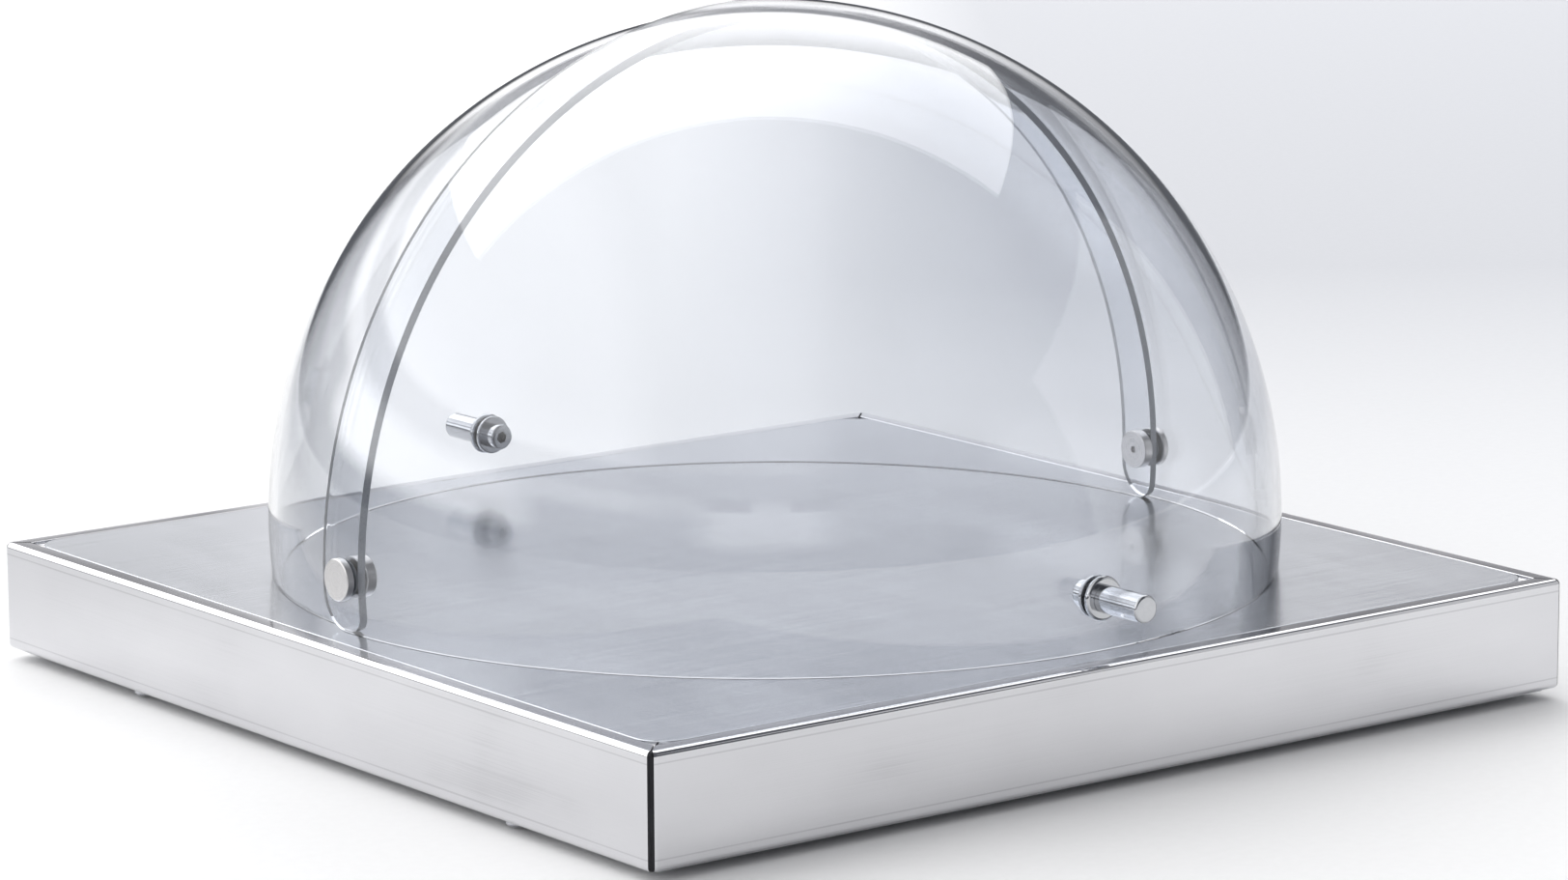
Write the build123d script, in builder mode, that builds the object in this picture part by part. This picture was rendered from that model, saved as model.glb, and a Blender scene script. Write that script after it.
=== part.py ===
from build123d import *

import os
from math import sqrt

# A buffet cheese display: a square stainless base with cold packs under a lift-out tray, and a clear
# roll-top hood made of two nested quarter-sphere shells that turn on one pair of pivots.
# Millimetres, +Z up, front towards -Y, pivots along X, origin on the table under the middle.

# Base
BASE_SIDE = 415
CASING_HEIGHT = 41
SHEET = 1.0
CORNER_RADIUS = 3
FOLD_RADIUS = 2
RIM_WIDTH = 7.5
RIM_EDGE = 0.3
LEDGE_WIDTH = 12
RETURN_WIDTH = 15
MITRE_GAP = 0.8
BOTTOM_INSET = 4

# Feet under the base
FOOT_HEIGHT = 3
FOOT_DIAMETER = 22
FOOT_TAPER = 1.5
FOOT_STEM = 6
FOOT_HEAD = 9
FOOT_HEAD_HEIGHT = 2
FOOT_SPACING = 300

# Screws that hold the bottom plate, two on the left and two on the right
SCREW_DIAMETER = 4
SCREW_HEAD = 7.5
SCREW_HEAD_HEIGHT = 1.8
SCREW_SPACING = 240
NUT_ACROSS_FLATS = 7
NUT_HEIGHT = 3.2

# Insulating tub and cold packs
TUB_FLOOR = 6
TUB_WALL = 15
TUB_RIB = 10
TUB_CORNER = 8
POCKET_CORNER = 14
FINGER_WELL = 64
FINGER_WELL_DEPTH = 20
PACK_HEADROOM = 9
PACK_EDGE = 3
PACK_PANEL_MARGIN = 14
PACK_PANEL_DEPTH = 1
PACK_NECK = 18
PACK_NECK_HEIGHT = 4
PACK_NECK_WALL = 2
CAP_DIAMETER = 26
CAP_HEIGHT = 5.5
CAP_TOP = 1.5
CAP_SIDES = 12

# Tray
TRAY_THICKNESS = 1.0
TRAY_CORNER = 12
TRAY_EDGE = 0.3

# Hood shells: the front one is the outer one
HOOD_RADIUS = 190
HOOD_WALL = 3
HOOD_GAP = 0.8
PIVOT_ABOVE_TRAY = 19.5
FRONT_TAIL = 13.5
REAR_TAIL = 6

# Pivots
PIVOT_CAP = 15.4
PIVOT_CAP_THICKNESS = 3
PIVOT_CAP_EDGE = 0.6
PIVOT_STUD = 5
BUSH_DIAMETER = 9
BUSH_NECK = 7
WASHER_DIAMETER = 13
WASHER_THICKNESS = 0.6
PIVOT_NUT = 15
PIVOT_NUT_THICKNESS = 4
PIVOT_NUT_FLOOR = 1.5
PIVOT_NUT_EDGE = 0.5
PIVOT_SOCKET = 2.5

# Knobs
KNOB_DIAMETER = 10
KNOB_LENGTH = 22
KNOB_EDGE = 0.7
KNOB_STUD = 3
ROSETTE_DIAMETER = 16
ROSETTE_THICKNESS = 2.5
ROSETTE_EDGE = 1.1
INNER_RING = 15
INNER_RING_THICKNESS = 1.6
INNER_RING_EDGE = 0.7
CAP_NUT = 10
CAP_NUT_LENGTH = 6
CAP_NUT_EDGE = 0.8
CAP_NUT_SOCKET = 4
CAP_NUT_SOCKET_DEPTH = 2

# Clearances
TRAY_CLEARANCE = 0.5
PACK_CLEARANCE = 2
TUB_CLEARANCE = 0.3
REST_CLEARANCE = 0.3
TURN_CLEARANCE = 0.1
SEAT_CLEARANCE = 0.05
HOLE_CLEARANCE = 0.4
THREAD_CLEARANCE = 0.1

# Heights
plate_top = FOOT_HEIGHT + SHEET
casing_bottom = plate_top
rim_top = casing_bottom + CASING_HEIGHT
ledge_top = rim_top - SHEET
ledge_bottom = ledge_top - SHEET
tray_top = ledge_top + TRAY_THICKNESS
hood_bottom = tray_top + REST_CLEARANCE
pivot_height = tray_top + PIVOT_ABOVE_TRAY
pocket_floor = plate_top + TUB_FLOOR
pack_top = ledge_top - PACK_HEADROOM

# Widths
rebate_side = BASE_SIDE - 2 * RIM_WIDTH
ledge_inside = rebate_side - 2 * LEDGE_WIDTH
ledge_outside = BASE_SIDE - 2 * FOLD_RADIUS
return_opening = BASE_SIDE - 2 * RETURN_WIDTH
tray_side = rebate_side - 2 * TRAY_CLEARANCE
bottom_side = BASE_SIDE - 2 * BOTTOM_INSET
tub_side = return_opening - 2 * TRAY_CLEARANCE
pocket_side = (tub_side - 2 * TUB_WALL - TUB_RIB) / 2
pocket_pitch = pocket_side + TUB_RIB
pack_side = pocket_side - 2 * PACK_CLEARANCE
pack_corner = POCKET_CORNER - PACK_CLEARANCE
screw_line = BASE_SIDE - RETURN_WIDTH
rear_radius = HOOD_RADIUS - HOOD_WALL - HOOD_GAP

os.makedirs("parts", exist_ok=True)


def keep(piece, label):
    """Label a finished piece and write it to its own file."""
    piece.part.label = label
    export_step(piece.part, f"parts/{label}.step")


def folded_block(side, height, bottom, corner, fold):
    """A square block with bent vertical corners and rounded top and bottom folds."""
    with BuildPart() as block:
        with BuildSketch(Plane.XY.offset(bottom)):
            RectangleRounded(side, side, corner)
        extrude(amount=height)
        ends = block.faces().sort_by(Axis.Z)
        fillet(ends[0].edges() + ends[-1].edges(), fold)
    return block.part


# The casing has four walls of folded sheet, each with a rim folded in at the top and a return at the bottom.
# They are mitred, welded and ground round at the corners, and the mitres of the rim stay open.
outside = folded_block(BASE_SIDE, CASING_HEIGHT, casing_bottom, CORNER_RADIUS, FOLD_RADIUS)
inside = folded_block(
    BASE_SIDE - 2 * SHEET,
    CASING_HEIGHT - 2 * SHEET,
    casing_bottom + SHEET,
    CORNER_RADIUS - SHEET,
    FOLD_RADIUS - SHEET,
)
mitre_start = rebate_side / sqrt(2) - SHEET
mitre_end = (BASE_SIDE / 2 - CORNER_RADIUS) * sqrt(2) + CORNER_RADIUS - 2 * SHEET
with BuildPart() as casing:
    add(outside)
    add(inside, mode=Mode.SUBTRACT)
    with BuildSketch(Plane.XY.offset(rim_top)):
        Rectangle(rebate_side, rebate_side)
    extrude(amount=-SHEET, mode=Mode.SUBTRACT)
    rim = casing.faces().sort_by(Axis.Z)[-1]
    chamfer(rim.inner_wires()[0].edges(), RIM_EDGE)
    with BuildSketch(Plane.XY.offset(rim_top)):
        with PolarLocations((mitre_start + mitre_end) / 2, 4, start_angle=45):
            Rectangle(mitre_end - mitre_start, MITRE_GAP)
    extrude(amount=-SHEET, mode=Mode.SUBTRACT)
    with BuildSketch(Plane.XY.offset(casing_bottom)):
        Rectangle(return_opening, return_opening)
        with GridLocations(screw_line, SCREW_SPACING, 2, 2):
            Circle((SCREW_DIAMETER + HOLE_CLEARANCE) / 2)
    extrude(amount=SHEET, mode=Mode.SUBTRACT)

for turn, side_word in ((0, "front"), (90, "right"), (180, "rear"), (270, "left")):
    with BuildPart() as wall:
        add(casing.part)
        with BuildSketch(Plane.XY.rotated((0, 0, turn))):
            with BuildLine():
                Polyline((0, 0), (BASE_SIDE, -BASE_SIDE), (-BASE_SIDE, -BASE_SIDE), close=True)
            make_face()
        extrude(amount=rim_top, mode=Mode.INTERSECT)
    keep(wall, f"{side_word}_wall")

    # A mitred strip, welded to the underside of each rim, is the ledge that the tray lies on
    with BuildPart() as ledge:
        with BuildSketch(Plane.XY.offset(ledge_bottom).rotated((0, 0, turn))):
            with Locations((0, -(ledge_outside + ledge_inside) / 4)):
                Trapezoid(ledge_outside - sqrt(2) * MITRE_GAP, (ledge_outside - ledge_inside) / 2, 45)
        extrude(amount=SHEET)
    keep(ledge, f"{side_word}_ledge")

# Bottom plate, screwed up against the return from below
with BuildPart() as bottom_plate:
    with BuildSketch(Plane.XY.offset(FOOT_HEIGHT)):
        RectangleRounded(bottom_side, bottom_side, CORNER_RADIUS)
        with GridLocations(screw_line, SCREW_SPACING, 2, 2):
            Circle((SCREW_DIAMETER + HOLE_CLEARANCE) / 2, mode=Mode.SUBTRACT)
        with GridLocations(FOOT_SPACING, FOOT_SPACING, 2, 2):
            Circle((FOOT_STEM + HOLE_CLEARANCE) / 2, mode=Mode.SUBTRACT)
    extrude(amount=SHEET)
keep(bottom_plate, "bottom_plate")

# Pan-head screws and the nuts welded to the return above them
with BuildPart() as bottom_screws:
    with BuildSketch(Plane.XY.offset(FOOT_HEIGHT)):
        with GridLocations(screw_line, SCREW_SPACING, 2, 2):
            Circle(SCREW_HEAD / 2)
    extrude(amount=-SCREW_HEAD_HEIGHT)
    heads = bottom_screws.faces().filter_by(Axis.Z).group_by(Axis.Z)[0]
    chamfer(heads.edges(), SCREW_HEAD_HEIGHT / 2)
    with BuildSketch(Plane.XY.offset(FOOT_HEIGHT)):
        with GridLocations(screw_line, SCREW_SPACING, 2, 2):
            Circle(SCREW_DIAMETER / 2)
    extrude(amount=2 * SHEET + NUT_HEIGHT)
keep(bottom_screws, "bottom_screws")

with BuildPart() as weld_nuts:
    with BuildSketch(Plane.XY.offset(casing_bottom + SHEET)):
        with GridLocations(screw_line, SCREW_SPACING, 2, 2):
            RegularPolygon(NUT_ACROSS_FLATS / 2, 6, major_radius=False)
            Circle(SCREW_DIAMETER / 2 + THREAD_CLEARANCE, mode=Mode.SUBTRACT)
    extrude(amount=NUT_HEIGHT)
keep(weld_nuts, "weld_nuts")


# Rubber feet, each pulled through its hole in the bottom plate by a barbed stem
def rubber_foot(side_x, side_y, label):
    place = Plane((side_x * FOOT_SPACING / 2, side_y * FOOT_SPACING / 2, 0), x_dir=(1, 0, 0), z_dir=(0, -1, 0))
    head_bottom = plate_top + TURN_CLEARANCE
    head_top = head_bottom + FOOT_HEAD_HEIGHT
    with BuildPart() as foot:
        with BuildSketch(place):
            with BuildLine():
                Polyline(
                    (0, 0),
                    (FOOT_DIAMETER / 2 - FOOT_TAPER, 0),
                    (FOOT_DIAMETER / 2, FOOT_HEIGHT),
                    (FOOT_STEM / 2, FOOT_HEIGHT),
                    (FOOT_STEM / 2, head_bottom),
                    (FOOT_HEAD / 2, head_bottom),
                    (FOOT_STEM / 2, head_top),
                    (0, head_top),
                    close=True,
                )
            make_face()
        revolve(axis=Axis(place.origin, (0, 0, 1)))
    keep(foot, label)


for depth_word, side_y in (("front", -1), ("rear", 1)):
    for width_word, side_x in (("left", -1), ("right", 1)):
        rubber_foot(side_x, side_y, f"{depth_word}_{width_word}_foot")

# Foam tub: four pockets for the cold packs, a finger well where they meet, and hollows over the feet
with BuildPart() as insulation_tub:
    with BuildSketch(Plane.XY.offset(plate_top)):
        RectangleRounded(tub_side, tub_side, TUB_CORNER)
    extrude(amount=ledge_bottom - TUB_CLEARANCE - plate_top)
    with BuildSketch(Plane.XY.offset(pocket_floor)):
        with GridLocations(pocket_pitch, pocket_pitch, 2, 2):
            RectangleRounded(pocket_side, pocket_side, POCKET_CORNER)
    extrude(until=Until.LAST, mode=Mode.SUBTRACT)
    with BuildSketch(insulation_tub.faces().sort_by(Axis.Z)[-1]):
        Circle(FINGER_WELL / 2)
    extrude(amount=-FINGER_WELL_DEPTH, mode=Mode.SUBTRACT)
    with BuildSketch(Plane.XY.offset(plate_top)):
        with GridLocations(FOOT_SPACING, FOOT_SPACING, 2, 2):
            Circle(FOOT_HEAD / 2 + PACK_CLEARANCE)
    extrude(amount=FOOT_HEAD_HEIGHT + PACK_CLEARANCE, mode=Mode.SUBTRACT)
keep(insulation_tub, "insulation_tub")


# Cold packs: blow-moulded blocks with a sunk panel and a filler neck, closed by a screw cap
def cold_pack(side_x, side_y, label):
    middle_x = side_x * pocket_pitch / 2
    middle_y = side_y * pocket_pitch / 2
    panel_side = pack_side - 2 * PACK_PANEL_MARGIN
    with BuildPart() as pack:
        with BuildSketch(Plane.XY.offset(pocket_floor)):
            with Locations((middle_x, middle_y)):
                RectangleRounded(pack_side, pack_side, pack_corner)
        extrude(amount=pack_top - pocket_floor)
        ends = pack.faces().sort_by(Axis.Z)
        chamfer(ends[0].edges() + ends[-1].edges(), PACK_EDGE)
        with BuildSketch(Plane.XY.offset(pack_top)):
            with Locations((middle_x, middle_y)):
                RectangleRounded(panel_side, panel_side, pack_corner)
                Circle(CAP_DIAMETER / 2 + PACK_CLEARANCE, mode=Mode.SUBTRACT)
        extrude(amount=-PACK_PANEL_DEPTH, mode=Mode.SUBTRACT)
        with BuildSketch(Plane.XY.offset(pack_top)):
            with Locations((middle_x, middle_y)):
                Circle(PACK_NECK / 2)
                Circle(PACK_NECK / 2 - PACK_NECK_WALL, mode=Mode.SUBTRACT)
        extrude(amount=PACK_NECK_HEIGHT)
    keep(pack, label)

    with BuildPart() as cap:
        with BuildSketch(Plane.XY.offset(pack_top + SEAT_CLEARANCE)):
            with Locations((middle_x, middle_y)):
                RegularPolygon(CAP_DIAMETER / 2, CAP_SIDES)
        extrude(amount=CAP_HEIGHT)
        with BuildSketch(Plane.XY.offset(pack_top + SEAT_CLEARANCE)):
            with Locations((middle_x, middle_y)):
                Circle(PACK_NECK / 2 + THREAD_CLEARANCE)
        extrude(amount=CAP_HEIGHT - CAP_TOP, mode=Mode.SUBTRACT)
    keep(cap, f"{label}_cap")


for depth_word, side_y in (("front", -1), ("rear", 1)):
    for width_word, side_x in (("left", -1), ("right", 1)):
        cold_pack(side_x, side_y, f"{depth_word}_{width_word}_cold_pack")

# Tray: a flat plate that lies on the ledge, flush with the rim. Its round corners leave finger gaps.
with BuildPart() as tray:
    with BuildSketch(Plane.XY.offset(ledge_top)):
        RectangleRounded(tray_side, tray_side, TRAY_CORNER)
    extrude(amount=TRAY_THICKNESS)
    chamfer(tray.faces().sort_by(Axis.Z)[-1].edges(), TRAY_EDGE)
keep(tray, "tray")

pivot_axis = Axis((0, 0, pivot_height), (1, 0, 0))
knob_axis = Axis((0, 0, pivot_height), (0, 1, 0))


# Hood shells: a spherical wall cut by a side outline. Each shell runs a little past the pivots, and the
# tail there has a round corner that never dips below the shell's lower edge as it turns.
def hood_shell(radius, facing, tail, pivot_hole, label):
    reach = radius + HOOD_WALL
    with BuildPart() as shell:
        with Locations((0, 0, pivot_height)):
            Sphere(radius, rotation=(0, 90, 0))
            Sphere(radius - HOOD_WALL, rotation=(0, 90, 0), mode=Mode.SUBTRACT)
        with BuildSketch(Plane.YZ) as outline:
            with BuildLine():
                Polyline(
                    (-facing * tail, hood_bottom),
                    (facing * reach, hood_bottom),
                    (facing * reach, pivot_height + reach),
                    (-facing * tail, pivot_height + reach),
                    close=True,
                )
            make_face()
            lower_corners = outline.vertices().group_by(Axis.Y)[0].sort_by(Axis.X)
            fillet(lower_corners[0] if facing > 0 else lower_corners[-1], tail)
        extrude(amount=reach, both=True, mode=Mode.INTERSECT)
        with Locations((0, 0, pivot_height)):
            Cylinder(pivot_hole / 2, 2 * reach, rotation=(0, 90, 0), mode=Mode.SUBTRACT)
        with Locations((0, facing * radius, pivot_height)):
            Cylinder((KNOB_STUD + HOLE_CLEARANCE) / 2, 4 * HOOD_WALL, rotation=(90, 0, 0), mode=Mode.SUBTRACT)
    keep(shell, label)


hood_shell(HOOD_RADIUS, -1, FRONT_TAIL, BUSH_DIAMETER + 2 * TURN_CLEARANCE, "front_hood")
hood_shell(rear_radius, 1, REAR_TAIL, BUSH_NECK + 2 * TURN_CLEARANCE, "rear_hood")

# Seats of the pivot pieces, measured outwards from the middle along the pivot axis
rear_inner = rear_radius - HOOD_WALL
nut_seat = sqrt(rear_inner**2 - (PIVOT_NUT / 2) ** 2) - SEAT_CLEARANCE
nut_face = nut_seat - PIVOT_NUT_THICKNESS
stud_tip = nut_face + PIVOT_NUT_FLOOR + SEAT_CLEARANCE
bush_step = rear_radius + SEAT_CLEARANCE
cap_seat = HOOD_RADIUS + 2 * SEAT_CLEARANCE
cap_face = cap_seat + PIVOT_CAP_THICKNESS
washer_inner = rear_radius + SEAT_CLEARANCE
washer_outer = washer_inner + WASHER_THICKNESS


# Pivot pieces: a capped stud from outside, a stepped bush that both shells turn on, a washer that keeps
# the shells apart, and a round nut inside
def pivot_pieces(side, word):
    section = Plane((0, 0, pivot_height), x_dir=(side, 0, 0), z_dir=(0, -side, 0))
    with BuildPart() as cap:
        with BuildSketch(section):
            with Locations(((cap_seat + cap_face) / 2, PIVOT_CAP / 4)):
                Rectangle(PIVOT_CAP_THICKNESS, PIVOT_CAP / 2)
            with Locations(((stud_tip + cap_seat) / 2, PIVOT_STUD / 4)):
                Rectangle(cap_seat - stud_tip, PIVOT_STUD / 2)
        revolve(axis=pivot_axis)
        rims = cap.edges().filter_by(GeomType.CIRCLE).group_by(SortBy.RADIUS)[-1]
        chamfer(rims, PIVOT_CAP_EDGE)
    keep(cap, f"{word}_pivot_cap")

    with BuildPart() as bush:
        with BuildSketch(section):
            with BuildLine():
                Polyline(
                    (nut_seat + SEAT_CLEARANCE, PIVOT_STUD / 2 + THREAD_CLEARANCE),
                    (nut_seat + SEAT_CLEARANCE, BUSH_NECK / 2),
                    (bush_step, BUSH_NECK / 2),
                    (bush_step, BUSH_DIAMETER / 2),
                    (cap_seat - SEAT_CLEARANCE, BUSH_DIAMETER / 2),
                    (cap_seat - SEAT_CLEARANCE, PIVOT_STUD / 2 + THREAD_CLEARANCE),
                    close=True,
                )
            make_face()
        revolve(axis=pivot_axis)
    keep(bush, f"{word}_pivot_bush")

    with BuildPart() as washer:
        with BuildSketch(section):
            with BuildLine():
                Polyline(
                    (washer_inner, BUSH_DIAMETER / 2 + TURN_CLEARANCE),
                    (washer_outer, BUSH_DIAMETER / 2 + TURN_CLEARANCE),
                    (washer_outer, WASHER_DIAMETER / 2),
                    (washer_inner, WASHER_DIAMETER / 2),
                    close=True,
                )
            make_face()
        revolve(axis=pivot_axis)
    keep(washer, f"{word}_pivot_washer")

    with BuildPart() as nut:
        with BuildSketch(section):
            with BuildLine():
                Polyline(
                    (nut_face, PIVOT_SOCKET / 2),
                    (nut_face, PIVOT_NUT / 2),
                    (nut_seat, PIVOT_NUT / 2),
                    (nut_seat, PIVOT_STUD / 2 + THREAD_CLEARANCE),
                    (nut_face + PIVOT_NUT_FLOOR, PIVOT_STUD / 2 + THREAD_CLEARANCE),
                    (nut_face + PIVOT_NUT_FLOOR, PIVOT_SOCKET / 2),
                    close=True,
                )
            make_face()
        revolve(axis=pivot_axis)
        rims = nut.edges().filter_by(GeomType.CIRCLE).group_by(SortBy.RADIUS)[-1]
        chamfer(rims, PIVOT_NUT_EDGE)
    keep(nut, f"{word}_pivot_nut")


pivot_pieces(-1, "left")
pivot_pieces(1, "right")


# Knob pieces: a turned grip on a stud through the shell, a rosette under it, and a ring and a cap nut inside
def knob_pieces(facing, radius, word):
    section = Plane((0, 0, pivot_height), x_dir=(0, facing, 0), z_dir=(facing, 0, 0))
    rosette_seat = radius + SEAT_CLEARANCE
    grip_seat = rosette_seat + ROSETTE_THICKNESS
    ring_seat = sqrt((radius - HOOD_WALL) ** 2 - (INNER_RING / 2) ** 2) - SEAT_CLEARANCE
    ring_face = ring_seat - INNER_RING_THICKNESS
    nut_end = ring_face - CAP_NUT_LENGTH
    stud_end = nut_end + 2 * CAP_NUT_SOCKET_DEPTH
    stud_bore = KNOB_STUD / 2 + THREAD_CLEARANCE

    with BuildPart() as grip:
        with BuildSketch(section):
            with Locations((grip_seat + KNOB_LENGTH / 2, KNOB_DIAMETER / 4)):
                Rectangle(KNOB_LENGTH, KNOB_DIAMETER / 2)
            with Locations(((stud_end + grip_seat) / 2, KNOB_STUD / 4)):
                Rectangle(grip_seat - stud_end, KNOB_STUD / 2)
        revolve(axis=knob_axis)
        chamfer(grip.faces().sort_by(knob_axis)[-1 if facing > 0 else 0].edges(), KNOB_EDGE)
    keep(grip, f"{word}_knob_grip")

    with BuildPart() as rosette:
        with BuildSketch(section):
            with Locations((rosette_seat + ROSETTE_THICKNESS / 2, (ROSETTE_DIAMETER / 2 + stud_bore) / 2)):
                Rectangle(ROSETTE_THICKNESS, ROSETTE_DIAMETER / 2 - stud_bore)
        revolve(axis=knob_axis)
        rims = rosette.edges().filter_by(GeomType.CIRCLE).group_by(SortBy.RADIUS)[-1]
        chamfer(rims, ROSETTE_EDGE)
    keep(rosette, f"{word}_knob_rosette")

    with BuildPart() as ring:
        with BuildSketch(section):
            with Locations((ring_seat - INNER_RING_THICKNESS / 2, (INNER_RING / 2 + stud_bore) / 2)):
                Rectangle(INNER_RING_THICKNESS, INNER_RING / 2 - stud_bore)
        revolve(axis=knob_axis)
        rims = ring.edges().filter_by(GeomType.CIRCLE).group_by(SortBy.RADIUS)[-1]
        chamfer(rims, INNER_RING_EDGE)
    keep(ring, f"{word}_knob_ring")

    with BuildPart() as nut:
        with BuildSketch(section):
            with Locations(((ring_face + nut_end) / 2, CAP_NUT / 4)):
                Rectangle(CAP_NUT_LENGTH, CAP_NUT / 2)
        revolve(axis=knob_axis)
        inner_end = nut.faces().sort_by(knob_axis)[0 if facing > 0 else -1]
        chamfer(inner_end.edges(), CAP_NUT_EDGE)
        with BuildSketch(Plane((0, facing * nut_end, pivot_height), x_dir=(1, 0, 0), z_dir=(0, facing, 0))):
            RegularPolygon(CAP_NUT_SOCKET / 2, 6, major_radius=False)
        extrude(amount=CAP_NUT_SOCKET_DEPTH, mode=Mode.SUBTRACT)
        with BuildSketch(Plane((0, facing * ring_face, pivot_height), x_dir=(1, 0, 0), z_dir=(0, -facing, 0))):
            Circle(stud_bore)
        extrude(amount=ring_face - stud_end + SEAT_CLEARANCE, mode=Mode.SUBTRACT)
    keep(nut, f"{word}_knob_nut")


knob_pieces(-1, HOOD_RADIUS, "front")
knob_pieces(1, rear_radius, "rear")
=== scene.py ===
from math import cos, radians, sin, sqrt, tan

import bmesh
import bpy
from mathutils import Matrix, Vector


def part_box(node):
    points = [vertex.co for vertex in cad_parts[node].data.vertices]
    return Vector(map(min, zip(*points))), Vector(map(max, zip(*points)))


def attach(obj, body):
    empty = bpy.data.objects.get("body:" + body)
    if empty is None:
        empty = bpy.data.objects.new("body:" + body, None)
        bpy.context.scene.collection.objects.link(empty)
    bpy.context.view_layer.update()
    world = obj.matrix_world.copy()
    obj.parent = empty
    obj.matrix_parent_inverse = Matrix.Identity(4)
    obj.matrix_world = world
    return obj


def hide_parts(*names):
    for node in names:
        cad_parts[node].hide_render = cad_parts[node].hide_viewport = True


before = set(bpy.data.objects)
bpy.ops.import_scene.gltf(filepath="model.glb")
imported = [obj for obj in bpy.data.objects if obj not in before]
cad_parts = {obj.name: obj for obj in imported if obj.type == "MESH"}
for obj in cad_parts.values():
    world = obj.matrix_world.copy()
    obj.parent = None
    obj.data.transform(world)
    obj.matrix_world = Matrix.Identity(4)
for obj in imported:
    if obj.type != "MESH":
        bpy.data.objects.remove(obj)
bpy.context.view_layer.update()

# Casing walls: four strips of 1 mm stainless sheet, folded inwards to a rim at the top and to a return at the
# bottom, then polished. They are welded where they meet and the weld is dressed round; that round is painted
# nearly black as a painted reflection of dark surroundings. The mitres of the rim stay open. The press leaves a faint
# mark along each fold.
mm = 0.001
wall_low, wall_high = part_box("front_wall")
base_half = -wall_low.y
casing_foot = wall_low.z
casing_top = wall_high.z
return_width = wall_high.y - wall_low.y
sheet = 1.0 * mm
fold_radius = 2.0 * mm
corner_radius = 3.0 * mm
rim_width = 7.5 * mm
rim_edge = 0.3 * mm
mitre_gap = 0.8 * mm
# painted reflection: from this angle into each corner the round is painted nearly black
dark_corner_from = 22.5            # how far into the corner the weld starts, in degrees
press_mark = 4.2 * mm       # from the rim, and from the bottom
mark_width = 0.45 * mm
mitre_from = 0.6 * fold_radius      # the mitre is open from so far in,
mitre_depth = 1.2 * sheet           # and through the rim only
corner_steps = 6
sides = ("front", "right", "rear", "left")


def grow(tree, kind, inputs=(), **settings):
    """Adds a node to a tree. An input is a value, a node whose first output is linked, or one of its outputs."""
    node = tree.nodes.new(kind)
    for name, value in settings.items():
        setattr(node, name, value)
    for name, value in dict(inputs).items():
        if isinstance(value, bpy.types.Node):
            value = value.outputs[0]
        if isinstance(value, bpy.types.NodeSocket):
            tree.links.new(value, node.inputs[name])
        else:
            node.inputs[name].default_value = value
    return node


def worked(tree, operation, first, second=0.0, third=0.0):
    """A number worked out from others."""
    return grow(tree, "ShaderNodeMath", {0: first, 1: second, 2: third}, operation=operation)


def new_finish(name, **looks):
    """A material, its node tree and its surface. Looks are the surface's constant sockets, as Coat_Weight=0.2."""
    made = bpy.data.materials.new(name)
    made.use_nodes = True
    surface = made.node_tree.nodes["Principled BSDF"]
    for socket, value in looks.items():
        surface.inputs[socket.replace("_", " ")].default_value = value
    return made, made.node_tree, surface


def grain(tree, stretch, detail=4.0, roughness=0.6):
    """Noise with so many grains to the metre along x, y and z."""
    place = grow(tree, "ShaderNodeTexCoord")
    drawn = grow(tree, "ShaderNodeMapping", {"Vector": place.outputs["Object"], "Scale": stretch})
    return grow(tree, "ShaderNodeTexNoise",
                {"Vector": drawn, "Scale": 1.0, "Detail": detail, "Roughness": roughness})


def spread(tree, source, low, high, source_low=0.3, source_high=0.7):
    """Carries a number from one range to another, held at the ends."""
    return grow(tree, "ShaderNodeMapRange", {"Value": source, "From Min": source_low, "From Max": source_high,
                                             "To Min": low, "To Max": high})


def shades(tree, source, *stops):
    """A colour ramp over a number: each stop is a position and a colour."""
    ramp = grow(tree, "ShaderNodeValToRGB", {"Fac": source})
    marks = ramp.color_ramp.elements
    while len(marks) < len(stops):
        marks.new(0.5)
    for mark, (position, colour) in zip(marks, stops):
        mark.position = position
        mark.color = (*colour, 1.0)
    return ramp


def relief(tree, surface, source, depth):
    """Raises the surface by a number, at most by depth."""
    bump = grow(tree, "ShaderNodeBump", {"Height": source, "Distance": depth})
    tree.links.new(bump.outputs[0], surface.inputs["Normal"])


def lay(tree, surface, colour, roughness):
    """Joins a colour and a roughness to a surface."""
    tree.links.new(colour.outputs[0], surface.inputs["Base Color"])
    tree.links.new(roughness.outputs[0], surface.inputs["Roughness"])


def polished_steel():
    """Bright steel with the fine level lines of the belt, soft clouds of polish and the two press marks."""
    made, tree, surface = new_finish("polished_casing_steel", Metallic=1.0)
    lines = grain(tree, (5.0, 5.0, 2600.0), 2.0, 0.5)
    clouds = grain(tree, (14.0, 14.0, 30.0), 2.0)
    place = grow(tree, "ShaderNodeTexCoord")
    level = grow(tree, "ShaderNodeSeparateXYZ", {"Vector": place.outputs["Object"]})
    half_height = (casing_top - casing_foot) / 2
    from_middle = worked(tree, "ABSOLUTE", worked(tree, "SUBTRACT", level.outputs["Z"], casing_foot + half_height))
    from_mark = worked(tree, "ABSOLUTE", worked(tree, "SUBTRACT", from_middle, half_height - press_mark))
    mark = spread(tree, from_mark, 1.0, 0.0, 0.0, mark_width)
    mixed = worked(tree, "MULTIPLY_ADD", lines, 0.5, clouds)
    marked = worked(tree, "MULTIPLY_ADD", mark, -0.6, mixed)
    colour = shades(tree, marked, (0.3, (0.54, 0.54, 0.56)), (0.6, (0.66, 0.66, 0.68)), (0.95, (0.70, 0.70, 0.72)))
    lay(tree, surface, colour, spread(tree, mixed, 0.05, 0.12, 0.5, 1.0))
    relief(tree, surface, marked, 0.002 * mm)
    return made


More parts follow.
